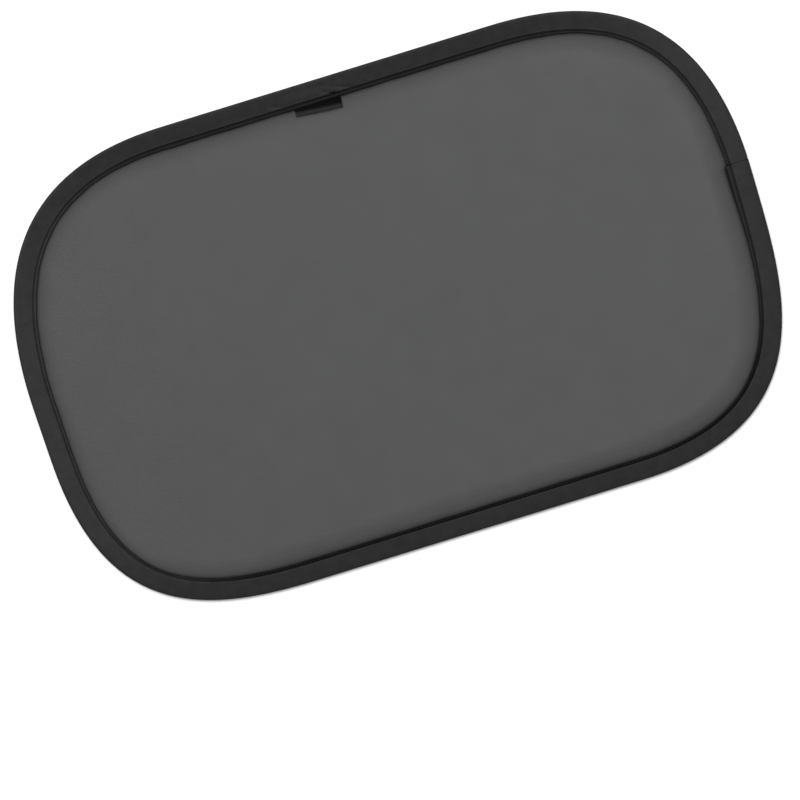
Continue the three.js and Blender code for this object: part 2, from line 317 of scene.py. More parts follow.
# %% Height of the upper leaf
STITCH_LENGTH = 3.0 * MM
LEAF_FALL = 0.85 * MM  # from the wire down to the seam
GROOVE_DEPTH = 0.11 * MM
GROOVE_WIDTH = 0.60 * MM
LIP_LIFT = 0.12 * MM
LABEL_HALF = 17 * MM
LABEL_RAMP = 7 * MM
LABEL_LIFT = 0.5 * MM
BAND_WAVES = [(0.025 * MM, 23 * MM, 0.4), (0.02 * MM, 14.1 * MM, 2.0), (0.015 * MM, 37 * MM, 4.1)]
LIP_WAVES = [(0.08 * MM, 31 * MM, 1.0), (0.07 * MM, 17.3 * MM, 3.3), (0.05 * MM, 9.7 * MM, 0.2)]


def leaf_top(distance, inset, over_lap):
    """Height of the tape's upper face. over_lap is 1 where the tape lies over its own start."""
    share = np.clip((inset - FOLD_RADIUS) / (SEAM - FOLD_RADIUS), 0, 1)
    height = plain_top - LEAF_FALL * (0.85 * share + 0.15 * share**6)
    height = height + ripple(distance, *BAND_WAVES) * np.sin(math.pi * share)

    hole = (0.5 + 0.5 * np.cos(2 * math.pi * distance / STITCH_LENGTH)) ** 2
    painted_light_share = GROOVE_DEPTH * (0.75 + 0.45 * hole)
    height = height - painted_light_share * bump_at(inset, SEAM, GROOVE_WIDTH) - fold_depth(distance, inset)

    height = height + LIP_LIFT * ease(inset, SEAM + 0.4 * MM, BAND_WIDTH)
    height = height + ripple(distance, *LIP_WAVES) * ease(inset, SEAM + 0.3 * MM, BAND_WIDTH)

    near_label = 1 - ease(np.abs(past(distance, label_at)), LABEL_HALF, LABEL_HALF + LABEL_RAMP)
    height = height + LABEL_LIFT * near_label * ease(inset, 3 * MM, 10 * MM)
    return height + TAPE_THICKNESS * over_lap


# %% [markdown]
# The section goes once round the cloth: over the upper leaf from the lip to the wire, round the wire, along
# the lower leaf, and back on the inside, one thickness away. Columns lie close where the cloth turns, at the
# lip and at the seam, and wide where it is straight.

# %% The outside of the section: upper leaf, turn round the wire, lower leaf
LIP_TO_SEAM = np.array([0, 0.10, 0.22, 0.40, 0.58, 0.72, 0.84, 0.93])  # shares of the way
PAST_SEAM = np.array([0.35, 0.7, 1.05, 1.5, 2.2, 3.2, 4.6, 6.2, 8.0, 9.6]) * MM
LOWER_LEAF = np.array([3.0, 5.4, 8.4, 11.2, 12.0, 12.6, 13.2, 14.0, 14.6, 14.7]) * MM
LIP_ROUNDING = np.array([0.11, 0.02]) * MM  # how much lower the first two columns are
LOWER_LIP_ROUNDING = 0.12 * MM
LOWER_LIP_DROP = 0.05 * MM
LOWER_GROOVE_DEPTH = 0.12 * MM


def upper_leaf(lip):
    to_seam = lip + (SEAM - lip) * LIP_TO_SEAM
    to_wire = np.broadcast_to(SEAM - PAST_SEAM, (tape_rows, len(PAST_SEAM)))
    insets = np.hstack([to_seam, to_wire])
    heights = leaf_top(tape_at[:, None], insets, over[:, None])
    heights[:, :2] -= LIP_ROUNDING
    return insets, heights


def wire_turn(radius):
    """Half a circle round the wire, from the upper leaf to the lower one."""
    angles = np.linspace(0.5, 1.5, 11) * math.pi
    high = np.where(np.sin(angles) > 0, radius + raised, radius - squeeze)
    return FOLD_RADIUS + (radius - squeeze) * np.cos(angles), MIDDLE + high * np.sin(angles)


def lower_leaf():
    insets = np.broadcast_to(LOWER_LEAF, (tape_rows, len(LOWER_LEAF)))
    slope = np.clip((insets - FOLD_RADIUS) / (LEAVES_MEET - FOLD_RADIUS), 0, 1)
    heights = LOWER_LEAF_BOTTOM * slope + squeeze * (1 - slope) - raised * slope
    heights = heights + LOWER_GROOVE_DEPTH * bump_at(insets, SEAM, GROOVE_WIDTH)
    heights = heights - LOWER_LIP_DROP * ease(insets, SEAM, BAND_WIDTH)
    heights[:, -1] += LOWER_LIP_ROUNDING
    return insets, heights


# %% The inside of the section, and the whole sweep
UPPER_COLUMNS = [17, 15, 12, 9, 7, 5, 3, 1, 0]  # of the outside, kept on the inside
LOWER_COLUMNS = [-1, -4, -5, -6, -8, -10]
UNDER_NARROWER = 0.4 * MM  # the first end is drawn in, so that the last one hides its lip
INNER_LIP_ROUNDING = (0.08 * MM, 0.10 * MM)  # of the lower and of the upper leaf
SEAM_COLUMNS = 11  # columns of the section from the lip to 1.5 mm past the seam
LIP_UNDER_COLUMNS = 3  # and those under the lip


def tape_points():
    """The points of every section, and their places across the tape, counted from the seam."""
    distance = tape_at[:, None]
    wider = np.where(tape_along > lap_span, lap_width(tape_at), 0)[:, None]
    lip = lip_inset(distance) + wider - UNDER_NARROWER * under[:, None]
    top, top_heights = upper_leaf(lip)
    turn, turn_heights = wire_turn(FOLD_RADIUS)
    low, low_heights = lower_leaf()

    inner_low_heights = low_heights[:, LOWER_COLUMNS] + TAPE_THICKNESS
    inner_low_heights[:, 0] = low_heights[:, -2] + TAPE_THICKNESS - INNER_LIP_ROUNDING[0]
    inner_turn, inner_turn_heights = wire_turn(FOLD_RADIUS - TAPE_THICKNESS)
    inner_top = top[:, UPPER_COLUMNS]
    inner_top_heights = leaf_top(distance, inner_top, over[:, None]) - TAPE_THICKNESS
    inner_top_heights[:, -1] += INNER_LIP_ROUNDING[1]

    insets = np.hstack([top, turn, low, low[:, LOWER_COLUMNS], inner_turn[:, ::-2], inner_top])
    outside = [top_heights, turn_heights, low_heights]
    inside = [inner_low_heights, inner_turn_heights[:, ::-2], inner_top_heights]
    heights = np.hstack(outside + inside)
    across = np.cumsum(np.hypot(np.diff(insets, axis=1), np.diff(heights, axis=1)), axis=1)
    across = np.hstack([np.zeros((tape_rows, 1)), across]) - (lip - SEAM)
    return place(beside(distance, insets), heights), across


points, tape_across = tape_points()
tape = grid_mesh("binding_tape", points, tape_across, tape_along, capped=True)

# The faces from the lip to just past the seam, and those under the lip, take the shaded copy of the tape's
# finish, a painted shade.
near_seam = np.zeros(points.shape[1], int)
near_seam[:SEAM_COLUMNS] = 1
near_seam[-LIP_UNDER_COLUMNS:] = 1
end_caps = [0, 0]
tape.data.polygons.foreach_set("material_index", np.append(np.tile(near_seam, tape_rows - 1), end_caps))

# %% [markdown]
# ## The mesh panel and the film
#
# The panel is one layer of knitted mesh, stretched in the hoop, with a clear film behind it. Its openings
# are far smaller than a millimetre, so they belong in the finish and not in the form. Both sheets have
# close rings beside the seam, where the cloth turns up under the tape, and inside them a patch of crossing
# rows, with a few soft waves across it, because no hoop pulls a sheet quite flat.

# %% Sizes of the two sheets
EDGE_RINGS = np.array([0, 2.5, 4.2, 5.0, 5.7, 6.4, 7.1, 8.0, 9.0, 10.2, 11.6, 13.4, 15.6, 18.4, 22, 26.5])
EDGE_RINGS = EDGE_RINGS * MM  # from the sheet's edge inward
PATCH_COLUMNS = 170
PATCH_ROWS = 110
SEAM_PRESS = 0.15 * MM  # how far the seam presses mesh and film down
FULLY_FREE = 40 * MM  # from the outer edge to where the waves are full

# %% [markdown]
# Beside the lip the mesh is painted dark and less see-through, a painted shade of the lip. The dark is wide
# on some sides and narrow on others. So each point gets a place in it as its second UV value: the distance
# inside the lip, divided by how wide the dark is on that side.

# %% How far a point lies in the shade of the lip
LAP_SHADOW = 1.0  # how much further in the mesh is dark beside the lap, as a share of its extra width
SHADE_REACH = 12 * MM  # how far the dark beside the lip reaches into the mesh where it is of usual width
SHADE_NEAR = 1 * MM  # the first millimetre is the same on every side
SHADE_ENDS = (10 * MM, 20 * MM)  # inside the lip, where it is led out on every side
SHADE_SPREAD = {  # how many times wider it is, for each side by the degrees it faces
    1: 2.0, 13: 1.5, 28: 1.1, 43: 1.4, 58: 1.6, 73: 1.4, 88: 1.2, 103: 1.0, 143: 0.8, 163: 1.0,
    203: 0.7, 223: 0.7, 243: 1.2, 263: 1.3, 283: 3.2, 303: 2.2, 333: 2.1, 353: 1.9,
}


def shade_place(distance, inset):
    lip = lip_inset(distance) + lap_width(distance) * (1 + LAP_SHADOW)
    inside_lip = inset - lip[:, None]
    near = np.minimum(inside_lip, SHADE_NEAR)
    further_in = np.maximum(inside_lip - SHADE_NEAR, 0) / by_side(distance, SHADE_SPREAD)[:, None]
    return near + further_in + SHADE_REACH * ease(inside_lip, *SHADE_ENDS)


# %% Lay out a sheet: rings along the edge, and a patch of crossing rows inside them


def coons_patch(bottom, right, top, left):
    """Fills a four-sided edge. Each side runs from left to right or from bottom to top."""
    s = np.linspace(0, 1, len(bottom))[None, :]
    t = np.linspace(0, 1, len(left))[:, None]
    sides = (1 - t) * bottom + t * top + (1 - s) * left[:, None] + s * right[:, None]
    low = (1 - t) * ((1 - s) * bottom[0] + s * bottom[-1])
    high = t * ((1 - s) * top[0] + s * top[-1])
    return sides - low - high


def four_sides(edge):
    """Cuts a closed line of corners into the bottom, right, top and left side of the patch."""
    a = PATCH_COLUMNS
    b = a + PATCH_ROWS
    c = b + PATCH_COLUMNS
    return edge[: a + 1], edge[a : b + 1], edge[b : c + 1][::-1], edge[c:][::-1]


def sheet_layout():
    """Points, faces, distances from the outer edge and places in the shade of the lip, for both sheets."""
    stations = 2 * (PATCH_COLUMNS + PATCH_ROWS)
    first = distance_near(-0.2, -0.2) / LINE_LENGTH
    distance = (first + np.arange(stations) / stations) % 1 * LINE_LENGTH
    rings = beside(distance[:, None], PANEL_EDGE + EDGE_RINGS[None, :])
    patch = coons_patch(*four_sides(np.append(rings[:, -1], rings[0, -1])))
    points = np.concatenate([rings.ravel(), patch[1:-1, 1:-1].ravel()])

    count = len(EDGE_RINGS)
    inner_shape = (PATCH_ROWS - 1, PATCH_COLUMNS - 1)
    inner_count = inner_shape[0] * inner_shape[1]
    number = np.zeros(patch.shape, int)
    number[1:-1, 1:-1] = (stations * count + np.arange(inner_count)).reshape(inner_shape)
    last_ring = np.append(np.arange(stations), 0) * count + count - 1
    number[0, :], number[:, -1], number[-1, :], number[:, 0] = four_sides(last_ring)

    ring = np.arange(count - 1)[None, :]
    here = np.arange(stations)[:, None] * count + ring
    ahead = (np.arange(stations)[:, None] + 1) % stations * count + ring
    band = [here, ahead, ahead + 1, here + 1]
    field = [number[:-1, :-1], number[:-1, 1:], number[1:, 1:], number[1:, :-1]]
    faces = np.vstack([np.stack(part, axis=-1).reshape(-1, 4) for part in (band, field)])

    ring_inset = PANEL_EDGE + EDGE_RINGS[None, :] + 0 * distance[:, None]
    middle = np.full(inner_count, FULLY_FREE)
    return points, faces, np.append(ring_inset, middle), np.append(shade_place(distance, ring_inset), middle)


sheet_plane, sheet_faces, sheet_inset, sheet_shade = sheet_layout()

# %% Make both sheets


def add_sheet(name, height):
    x, y = sheet_plane.real, sheet_plane.imag
    free = ease(sheet_inset, BAND_WIDTH - 1 * MM, FULLY_FREE)
    field = 0.20 * MM * np.sin(x / (37 * MM) + 0.6) * np.sin(y / (29 * MM) + 0.9)
    field = field + 0.12 * MM * np.sin(x / (19 * MM) - y / (23 * MM) + 2.0)
    pressed = SEAM_PRESS * (1 - ease(sheet_inset, BAND_WIDTH - 1 * MM, BAND_WIDTH + 4 * MM))
    mesh = bpy.data.meshes.new(name)
    mesh.from_pydata(place(sheet_plane, height + free * field - pressed).tolist(), [], sheet_faces.tolist())
    places = mesh.uv_layers.new(name="along_piece").data
    for loop in mesh.loops:
        places[loop.index].uv = (sheet_plane[loop.vertex_index].real, sheet_shade[loop.vertex_index])
    mesh.polygons.foreach_set("use_smooth", [True] * len(mesh.polygons))
    piece = bpy.data.objects.new(name, mesh)
    COLLECTION.objects.link(piece)
    print(f"{name}: {len(mesh.polygons)} faces")
    return piece


panel = add_sheet("knitted_panel", (mesh_low.z + mesh_high.z) / 2)
film = add_sheet("clear_film_sheet", (film_low.z + film_high.z) / 2)

# %% [markdown]
# ## The label
#
# The label is a ribbon folded in half, with its two tails caught under the lip. It is bare. A woven
# ribbon is never a sharp box: its fold is round, its sides wave a little and the plies part near the fold.
# So its side view is drawn as a soft loop and carried across the width in fine steps.

# %% Fold a ribbon
LABEL_WIDTH = 31 * MM
LABEL_LENGTH = 11 * MM  # from the tails to the fold
LABEL_PLY = 0.2 * MM
LABEL_TURN_RADIUS = 0.26 * MM
LABEL_SKEW = math.radians(4.8)
LABEL_COLUMNS = 72
STRAIGHT_POINTS = 22
TURN_POINTS = 7
FOLD_FULLNESS = 1.1  # how much thicker the springy fold is than the two plies


def ply(offset):
    """Side view of the folded ribbon, this far inside its outer face."""
    reach = LABEL_LENGTH - LABEL_TURN_RADIUS
    straight = np.linspace(0, 1, STRAIGHT_POINTS)
    turn = np.linspace(-0.5, 0.5, TURN_POINTS + 2)[1:-1] * math.pi
    away = LABEL_TURN_RADIUS - offset
    length = np.concatenate([straight * reach, reach + away * np.cos(turn), straight[::-1] * reach])
    height = np.concatenate([0 * straight - away, away * np.sin(turn), 0 * straight + away])
    return length, height


def label_points():
    across = np.linspace(-0.5, 0.5, LABEL_COLUMNS)[:, None] * LABEL_WIDTH
    outer_length, outer_height = ply(0)
    inner_length, inner_height = ply(LABEL_PLY)
    length = np.concatenate([outer_length, inner_length[::-1]])[None, :]
    height = np.concatenate([outer_height, inner_height[::-1]])[None, :]
    free = ease(length, 4.5 * MM, LABEL_LENGTH)
    wave = 0.10 * MM * np.sin(across / (5.2 * MM) + 0.7) + 0.06 * MM * np.sin(across / (2.9 * MM))
    full = ease(length, 6.0 * MM, LABEL_LENGTH - 0.9 * MM) * FOLD_FULLNESS
    height = height * (1 + full) + free * wave + LABEL_TURN_RADIUS * full
    length = length + free * 0.12 * MM * np.sin(across / (8 * MM) + 1.2)
    turned = np.exp(-1j * LABEL_SKEW) * (-1j * (length - LABEL_LENGTH / 2) + across)
    middle_height = label_low.z + 0.02 * MM + LABEL_TURN_RADIUS
    return place(turned + complex(label_centre.x, label_centre.y), middle_height + height)


points = label_points()
side = np.concatenate([[0], np.cumsum(np.linalg.norm(np.diff(points[0], axis=0), axis=1))])
fold_across = float(side[STRAIGHT_POINTS + TURN_POINTS // 2])  # where the fold is, along the outer face
label = grid_mesh("label_ribbon_tab", points, side, np.linspace(0, LABEL_WIDTH, LABEL_COLUMNS), capped=True)

# %% [markdown]
# ## The stitches
#
# A lockstitch is two threads that catch each other inside the cloth. On each face the thread lies in short
# straight lengths and dives into a hole between them. So each thread is one closed tube that follows the
# seam, lies on the tape between the holes and sinks into the cloth at each hole.

# %% Sew the seam
THREAD_RADIUS = 0.16 * MM
THREAD_SIDES = 6
STEPS_PER_STITCH = 8


def thread(name, height_between):
    """A row of stitches. height_between is the height of the thread between its holes."""
    stitches = round(LINE_LENGTH / STITCH_LENGTH)
    rows = stitches * STEPS_PER_STITCH
    phase = np.arange(rows) / STEPS_PER_STITCH
    distance = (phase * LINE_LENGTH / stitches)[:, None]
    in_hole = ((0.5 + 0.5 * np.cos(2 * math.pi * phase)) ** 4)[:, None]
    level = height_between(distance) * (1 - in_hole) + MIDDLE * in_hole
    angle = -np.linspace(0, 2 * math.pi, THREAD_SIDES, endpoint=False)[None, :]
    inset = SEAM + THREAD_RADIUS * np.cos(angle)
    return grid_mesh(
        name,
        place(beside(distance, inset), level + THREAD_RADIUS * np.sin(angle)),
        np.linspace(0, 2 * math.pi * THREAD_RADIUS, THREAD_SIDES),
        distance[:, 0],
        closed_rows=True,
    )


def on_tape(distance):
    return leaf_top(distance, SEAM, in_lap(distance)) + 0.6 * THREAD_RADIUS


def below_tape(distance):
    return LOWER_LEAF_BOTTOM + LOWER_GROOVE_DEPTH - 0.6 * THREAD_RADIUS + 0 * distance


needle = thread("needle_stitches", on_tape)
bobbin = thread("bobbin_stitches", below_tape)

# %% [markdown]
# ## Colours and nodes
#
# Colours are written as a designer reads them off, in sRGB, and Blender wants linear light, so one
# function turns them. A second one adds a node, sets it up and links it in a single call.

# %% Helpers for materials


def to_linear(colour):
    """An sRGB colour such as #2b2b2c as linear red, green, blue and 1."""
    channels = [int(colour[k : k + 2], 16) / 255 for k in (1, 3, 5)]
    return [c / 12.92 if c <= 0.04045 else ((c + 0.055) / 1.055) ** 2.4 for c in channels] + [1.0]


def add(material, kind, settings=(), **inputs):
    """Adds a node. settings are its own fields, and inputs are sockets, given a value or linked."""
    node = material.node_tree.nodes.new("ShaderNode" + kind)
    for field, value in dict(settings).items():
        setattr(node, field, value)
    for name, value in inputs.items():
        key = int(name[1:]) if name[0] == "_" else name.replace("_", " ")
        if isinstance(value, bpy.types.NodeSocket):
            material.node_tree.links.new(value, node.inputs[key])
        else:
            node.inputs[key].default_value = value
    return node


def add_ramp(material, value, shares):
    """Turns a value from 0 to 1 into another one. shares says what each place on the way turns into."""
    node = add(material, "ValToRGB", Fac=value)
    for _ in range(len(shares) - 2):
        node.color_ramp.elements.new(1.0)
    for element, (position, share) in zip(node.color_ramp.elements, shares.items()):
        element.position = position
        element.color = (share, share, share, 1.0)
    return node.outputs[0]


def new_material(name):
    material = bpy.data.materials.new(name)
    material.use_nodes = True
    material.node_tree.nodes.clear()
    return material


def show(material, shader):
    output = material.node_tree.nodes.new("ShaderNodeOutputMaterial")
    material.node_tree.links.new(shader, output.inputs["Surface"])


# %% [markdown]
# ## Black woven polyester tape
#
# The tape is plain-woven from dull black polyester yarn, about 22 threads to the centimetre, and dyed
# through. The eye sees a dark grey cloth with a soft sheen and hardly any grain. The weave follows the
# tape, so it is drawn from the UV places: one set of threads along, one across, each going over and under.
#
# Places across the tape count from the seam, so the painted shade of the seam and of the lip is drawn from
# them too.
# How dark that painted shade is depends on the side, and is looked up by the share of the strip that lies
# behind.

# %% How dark the lip and the seam are
SEAM_SHADE_LEAST = 0.4  # how dark the painted shade in the seam is on the side where it is lightest
LIP_DARK = {  # how much of the lip lies in shade, for each side by the degrees it faces
    3: 0.4, 13: 0.1, 28: 0.35, 58: 0.4, 73: 0.5, 88: 0.65, 103: 0.5, 123: 0.2, 143: 0.1, 163: 0.0, 183: 0.0,
    203: 0.0, 223: 0.05, 243: 0.2, 263: 0.8, 283: 0.9, 303: 0.95, 328: 0.85, 345: 0.4, 360: 0.3,
}
shares_of_strip = np.linspace(0, 1, 31)
LIP_SHADE = dict(zip(shares_of_strip, by_side(lap_start + shares_of_strip * strip_length, LIP_DARK)))
print(f"lip shade from {min(LIP_SHADE.values()):.2f} to {max(LIP_SHADE.values()):.2f}")

# %% Tape finish
TAPE_THREAD = 0.9 * MM  # the real threads lie 0.45 mm apart, which is too fine to show
LIP_DARK_WIDTH = 0.7 * MM
SEAM_SHIFT = 0.4 * MM  # how far outside the stitches the seam is darkest, where it is darkest of all
SEAM_SHADE_SPAN = (1.05 * MM, 0.5 * MM)  # where the painted shade of the seam groove begins and where it is full
CUT_END = (0.9 * MM, 0.4 * MM)  # the same for the dark at the tape's last end: its dark cut yarn ends and a painted shade of the crease


def tape_colour(cloth, uneven, along, across, dark_yarn, light_yarn):
    """The colour of the yarn, with painted shade on the lip and in the seam groove, and a darker cut end."""
    tone = add(cloth, "MapRange", Value=uneven, From_Min=0.3, From_Max=0.7)
    plain = add(cloth, "MixRGB", _0=tone.outputs[0], _1=to_linear(dark_yarn), _2=to_linear(light_yarn))
    round_shade = add(cloth, "MapRange", Value=along, From_Max=strip_length)
    dark = add_ramp(cloth, round_shade.outputs[0], LIP_SHADE)

    # painted shade on the lip, darkest on the sides that lie in the band's shadow
    on_lip = add(cloth, "MapRange", Value=across, From_Min=0.0, From_Max=-LIP_DARK_WIDTH)
    lip_share = add(cloth, "Math", {"operation": "MULTIPLY"}, _0=on_lip.outputs[0], _1=dark)
    lip = add(cloth, "MixRGB", _0=lip_share.outputs[0], _1=plain.outputs[0], _2=to_linear("#060606"))

    # painted shade along the seam groove, stronger where the lip is shaded
    middle = add(cloth, "MapRange", Value=dark, To_Max=SEAM_SHIFT)
    off_seam = add(cloth, "Math", {"operation": "SUBTRACT"}, _0=across, _1=middle.outputs[0])
    off_seam = add(cloth, "Math", {"operation": "ABSOLUTE"}, _0=off_seam.outputs[0])
    in_seam_shade = add(
        cloth, "MapRange", Value=off_seam.outputs[0], From_Min=SEAM_SHADE_SPAN[0], From_Max=SEAM_SHADE_SPAN[1]
    )
    most = add(cloth, "MapRange", Value=dark, To_Min=SEAM_SHADE_LEAST)
    share = add(cloth, "Math", {"operation": "MULTIPLY"}, _0=in_seam_shade.outputs[0], _1=most.outputs[0])
    seam = add(cloth, "MixRGB", _0=share.outputs[0], _1=lip.outputs[0], _2=to_linear("#010101"))

    # the cut end: dark yarn ends, and painted shade of the crease
    cut = add(
        cloth,
        "MapRange",
        Value=along,
        From_Min=strip_length - CUT_END[0],
        From_Max=strip_length - CUT_END[1],
    )
    return add(cloth, "MixRGB", _0=cut.outputs[0], _1=seam.outputs[0], _2=to_linear("#030303")).outputs[0]


def tape_material(name, dark_yarn, light_yarn, sheen):
    cloth = new_material(name)
    place_on = add(cloth, "UVMap", {"uv_map": "along_piece"}).outputs["UV"]
    split = add(cloth, "SeparateXYZ", Vector=place_on)
    waves = []
    for axis in "XY":
        turns = add(
            cloth, "Math", {"operation": "MULTIPLY"}, _0=split.outputs[axis], _1=math.pi / TAPE_THREAD
        )
        waves.append(add(cloth, "Math", {"operation": "SINE"}, _0=turns.outputs[0]).outputs[0])
    weave = add(cloth, "Math", {"operation": "MULTIPLY"}, _0=waves[0], _1=waves[1]).outputs[0]
    where = add(cloth, "TexCoord").outputs["Object"]
    uneven = add(cloth, "TexNoise", Vector=where, Scale=180.0, Detail=3.0).outputs[0]
    colour = tape_colour(cloth, uneven, split.outputs["X"], split.outputs["Y"], dark_yarn, light_yarn)
    height = add(cloth, "Math", {"operation": "MULTIPLY_ADD"}, _0=uneven, _1=0.6, _2=weave)
    bump = add(cloth, "Bump", Height=height.outputs[0], Strength=0.25, Distance=0.05 * MM)
    along = add(cloth, "Tangent", {"direction_type": "UV_MAP", "uv_map": "along_piece"})
    skin = add(
        cloth,
        "BsdfPrincipled",
        Base_Color=colour,
        Roughness=0.55,
        IOR=1.53,
        Specular_IOR_Level=sheen,
        Anisotropic=0.85,
        Anisotropic_Rotation=0.0,
        Tangent=along.outputs[0],
        Normal=bump.outputs[0],
    )
    show(cloth, skin.outputs[0])
    return cloth


# %% [markdown]
# The cloth beside the stitches is the same cloth in a groove, drawn as a shaded copy of it: its sheen is
# taken away as painted shade, where little of the lamps' shine would come back, and a lighter yarn keeps its
# grey.

# %% The tape's two finishes
tape_cloth = tape_material("black_woven_polyester_tape", "#1e1e1e", "#252525", sheen=0.13)
shaded_cloth = tape_material("black_woven_polyester_tape_painted_seam_shade", "#303030", "#363636", sheen=0.01)

# %% [markdown]
# ## Black knitted mesh
#
# The panel is warp-knitted from fine black polyester. Each loop leaves a small opening, and about a sixth
# of the field is open. From a step away the openings run together into an even grey with faint lines
# along the knit. One pattern sets how much shows through. Beside the lip the cloth is painted darker and
# less see-through, a painted shade of the lip.

# %% Mesh finish
KNIT_ROW = 1.3 * MM  # the real rows lie about 0.7 mm apart, and are drawn coarser to show
KNIT_LOOP = 1.1 * MM
OPEN_SHARE = 0.17
OPEN_VARIES = 0.014  # from row to row and from place to place
PAINTED_LIGHT_TOWARD_RIGHT = 0.017  # the mesh is drawn a little more open toward the right end, a painted light that makes that side lighter
LIGHT_SPAN_REACH = 0.24  # metres from the middle to either end
PAINTED_SHADE_BY_LIP = {  # how strong the painted shade is, darker and less see-through, by millimetres inside the lip
    0: 1.0, 0.4: 0.95, 1.0: 0.62, 1.7: 0.38, 2.6: 0.26, 4.5: 0.16, 7.5: 0.07, 12: 0.0,
}


def mesh_material():
    knit = new_material("black_knitted_polyester_mesh")
    where = add(knit, "TexCoord").outputs["Object"]
    split = add(knit, "SeparateXYZ", Vector=where)
    waves = []
    for axis, pitch in (("X", KNIT_LOOP), ("Y", KNIT_ROW)):
        turns = add(
            knit, "Math", {"operation": "MULTIPLY"}, _0=split.outputs[axis], _1=2 * math.pi / pitch
        )
        waves.append(add(knit, "Math", {"operation": "COSINE"}, _0=turns.outputs[0]).outputs[0])
    loops = add(knit, "Math", {"operation": "MULTIPLY_ADD"}, _0=waves[0], _1=0.35, _2=waves[1])
    uneven = add(knit, "TexNoise", Vector=where, Scale=45.0, Detail=3.0)
    drift = add(
        knit, "Math", {"operation": "MULTIPLY_ADD"}, _0=uneven.outputs[0], _1=6.0, _2=loops.outputs[0]
    )
    woven = add(
        knit,
        "MapRange",
        Value=drift.outputs[0],
        From_Min=0.0,
        From_Max=6.0,
        To_Min=1 - OPEN_SHARE - OPEN_VARIES,
        To_Max=1 - OPEN_SHARE + OPEN_VARIES,
    )
    # painted light: the openings widen from left to right, so the right end looks lighter
    painted_light_share = add(
        knit,
        "MapRange",
        Value=split.outputs["X"],
        From_Min=-LIGHT_SPAN_REACH,
        From_Max=LIGHT_SPAN_REACH,
        To_Min=PAINTED_LIGHT_TOWARD_RIGHT,
        To_Max=-PAINTED_LIGHT_TOWARD_RIGHT,
    )
    cover = add(knit, "Math", {"operation": "ADD"}, _0=woven.outputs[0], _1=painted_light_share.outputs[0])
    plain = add(knit, "MixRGB", _0=cover.outputs[0], _1=to_linear("#3f3f3f"), _2=to_linear("#424242"))

    inside = add(knit, "SeparateXYZ", Vector=add(knit, "UVMap", {"uv_map": "along_piece"}).outputs["UV"])
    inside = add(knit, "MapRange", Value=inside.outputs["Y"], From_Max=SHADE_REACH)
    # Beside the lip the colour goes to near black and the openings are filled: a painted shade of the lip.
    shade_ramp = {inset * MM / SHADE_REACH: share for inset, share in PAINTED_SHADE_BY_LIP.items()}
    painted_shade = add_ramp(knit, inside.outputs[0], shade_ramp)
    colour = add(knit, "MixRGB", _0=painted_shade, _1=plain.outputs[0], _2=to_linear("#040404"))
    shaded_cover = add(knit, "MixRGB", _0=painted_shade, _1=cover.outputs[0], _2=(1.0, 1.0, 1.0, 1.0))
    bump = add(knit, "Bump", Height=drift.outputs[0], Strength=0.05, Distance=0.05 * MM)
    skin = add(
        knit,
        "BsdfPrincipled",
        Base_Color=colour.outputs[0],
        Roughness=0.7,
        IOR=1.53,
        Specular_IOR_Level=0.12,
        Alpha=shaded_cover.outputs[0],
        Normal=bump.outputs[0],
    )
    show(knit, skin.outputs[0])
    return knit


knit_mesh = mesh_material()

# %% [markdown]
# ## Clear vinyl film
#
# The film is calendered soft vinyl, 0.12 mm thick, so smooth that it clings to glass. Such a thin sheet
# bends no light. It shows only where it mirrors a bright room, more so at a low angle, and by a faint haze.
# Fresnel mixes clear and glossy in that measure.

# %% Film finish


def film_material():
    vinyl = new_material("clear_soft_vinyl_film")
    uneven = add(vinyl, "TexNoise", Vector=add(vinyl, "TexCoord").outputs["Object"], Scale=25.0, Detail=2.0)
    bump = add(vinyl, "Bump", Height=uneven.outputs[0], Strength=0.1, Distance=0.3 * MM)
    clear = add(vinyl, "BsdfTransparent", Color=to_linear("#f7f8f8"))
    gloss = add(vinyl, "BsdfGlossy", Color=to_linear("#ffffff"), Roughness=0.1, Normal=bump.outputs[0])
    share = add(vinyl, "Fresnel", IOR=1.53, Normal=bump.outputs[0])
    both = add(vinyl, "MixShader", _0=share.outputs[0], _1=clear.outputs[0], _2=gloss.outputs[0])
    show(vinyl, both.outputs[0])
    return vinyl


vinyl_film = film_material()

# %% [markdown]
# ## Ribbon, thread, steel
#
# The label is a close woven polyester ribbon with a slight sheen and fine ribs. The thread is
# twisted polyester. The wire is drawn spring steel and its sleeve zinc-plated steel. They lie inside the
# tape, and get their own finish all the same, because the part may be taken apart.

# %% Ribbon finish
RIB = 0.5 * MM
FOLD_HIGHLIGHT = (3.8 * MM, 1.8 * MM)  # from the fold, where the painted highlight beside it begins and is full


